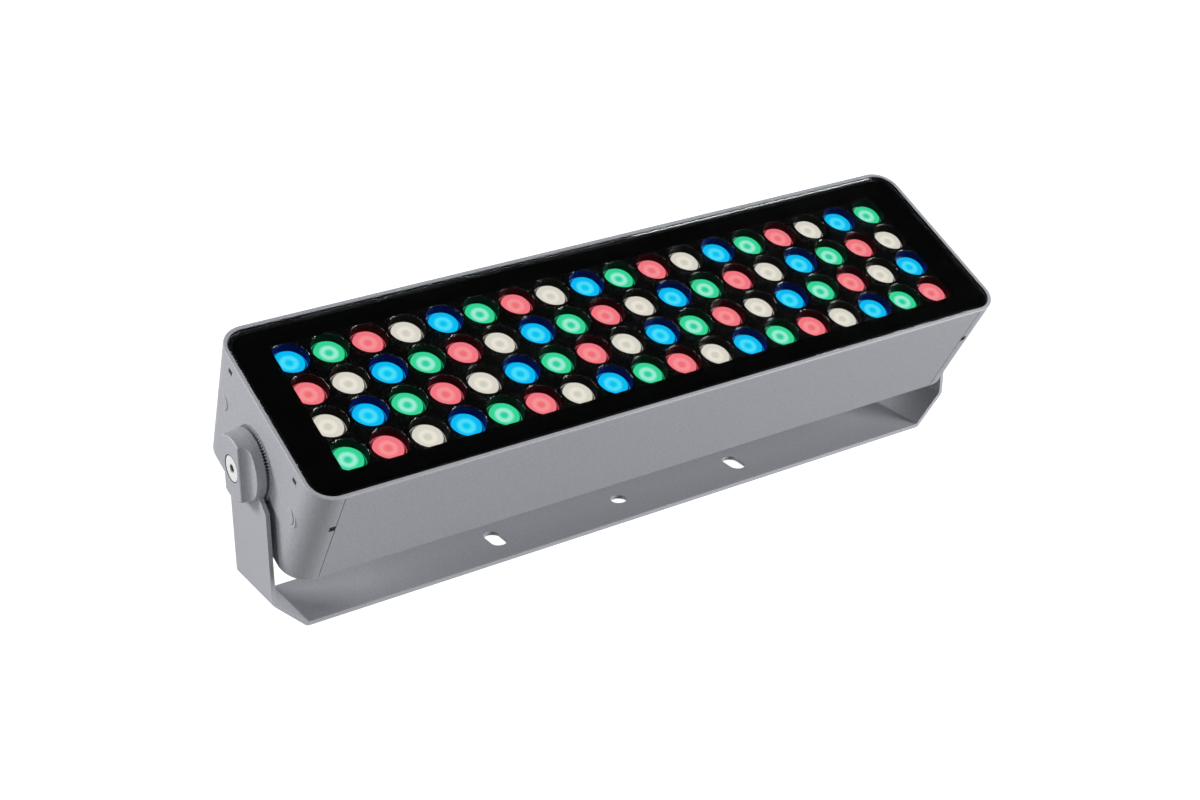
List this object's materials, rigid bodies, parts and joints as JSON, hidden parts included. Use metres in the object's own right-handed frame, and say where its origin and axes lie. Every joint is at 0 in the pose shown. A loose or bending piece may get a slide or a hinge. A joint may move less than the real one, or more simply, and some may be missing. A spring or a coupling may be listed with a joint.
{
  "type": "outdoor wall washer light",
  "caption": "Long outdoor wall washer: an extruded aluminium head with a glass front over rows of coloured LED lenses, tilting in a folded steel yoke on toothed pivots.",
  "frame": {"origin": "centre of the yoke base's round hole, on the face that meets the wall or floor", "axes": "+Z away from the mounting surface, +X along the LED rows, -Y towards the side that the tilted glass faces"},
  "size_m": [0.522, 0.1472, 0.1632],
  "materials": {
    "silver_powder_coat": "fine satin powder coat",
    "zinc_plated_steel": "zinc plated",
    "standoff_brass": "turned",
    "toughened_glass": "clear, with a black printed border",
    "silicone_bond": "black silicone",
    "seal_rubber": "matt",
    "black_moulding": "black moulded",
    "lens_blue": "clear acrylic lit blue",
    "lens_green": "clear acrylic lit green",
    "lens_red": "clear acrylic lit red",
    "lens_white": "clear acrylic lit warm white",
    "led_ceramic": "ceramic package with a silicone dome",
    "white_mask_board": "white solder mask on aluminium",
    "green_mask_board": "green solder mask on glass fibre",
    "sheet_aluminium": "mill finish",
    "white_nylon": "moulded nylon",
    "capacitor_sleeve": "shrunk sleeve",
    "enamelled_copper": "enamelled winding",
    "wire_insulation": "PVC insulation",
    "nickel_plated_brass": "nickel plated"
  },
  "bodies": {
    "bracket": {"bracket_yoke": "silver_powder_coat", "clutch_disc_left": "silver_powder_coat", "clutch_disc_right": "silver_powder_coat", "pivot_cap_left": "silver_powder_coat", "pivot_cap_right": "silver_powder_coat", "pivot_screw_left": "zinc_plated_steel", "pivot_screw_right": "zinc_plated_steel"},
    "head": {"housing_body": "silver_powder_coat", "end_cap_left": "silver_powder_coat", "end_cap_right": "silver_powder_coat", "front_frame": "silver_powder_coat", "screw_plugs": "silver_powder_coat", "end_cap_screws": "zinc_plated_steel", "board_screws": "zinc_plated_steel", "supply_screws": "zinc_plated_steel", "control_board_screws": "zinc_plated_steel", "pivot_insert_left": "zinc_plated_steel", "pivot_insert_right": "zinc_plated_steel", "standoffs": "standoff_brass", "front_glass": "toughened_glass", "glass_gasket": "silicone_bond", "end_cap_gasket_left": "seal_rubber", "end_cap_gasket_right": "seal_rubber", "gland_seal": "seal_rubber", "gland_washer": "seal_rubber", "lead_grommets": "seal_rubber", "cell_plate": "black_moulding", "lenses_blue": "lens_blue", "lenses_green": "lens_green", "lenses_red": "lens_red", "lenses_white": "lens_white", "leds_blue": "led_ceramic", "leds_green": "led_ceramic", "leds_red": "led_ceramic", "leds_white": "led_ceramic", "led_board_left": "white_mask_board", "led_board_right": "white_mask_board", "control_board": "green_mask_board", "driver_tray": "sheet_aluminium", "power_supply": "sheet_aluminium", "lead_sockets": "white_nylon", "terminal_block": "white_nylon", "capacitors": "capacitor_sleeve", "inductors": "enamelled_copper", "led_leads": "wire_insulation", "supply_leads": "wire_insulation", "gland_body": "nickel_plated_brass", "gland_locknut": "nickel_plated_brass", "gland_dome_nut": "nickel_plated_brass", "vent_plug": "nickel_plated_brass", "vent_nut": "nickel_plated_brass"}
  },
  "joints": [
    {"name": "head_tilt", "type": "hinge", "parent": "bracket", "child": "head", "pos_m": [0, 0, 0.1], "axis": [1, 0, 0], "range_deg": [-115, 65]}
  ]
}
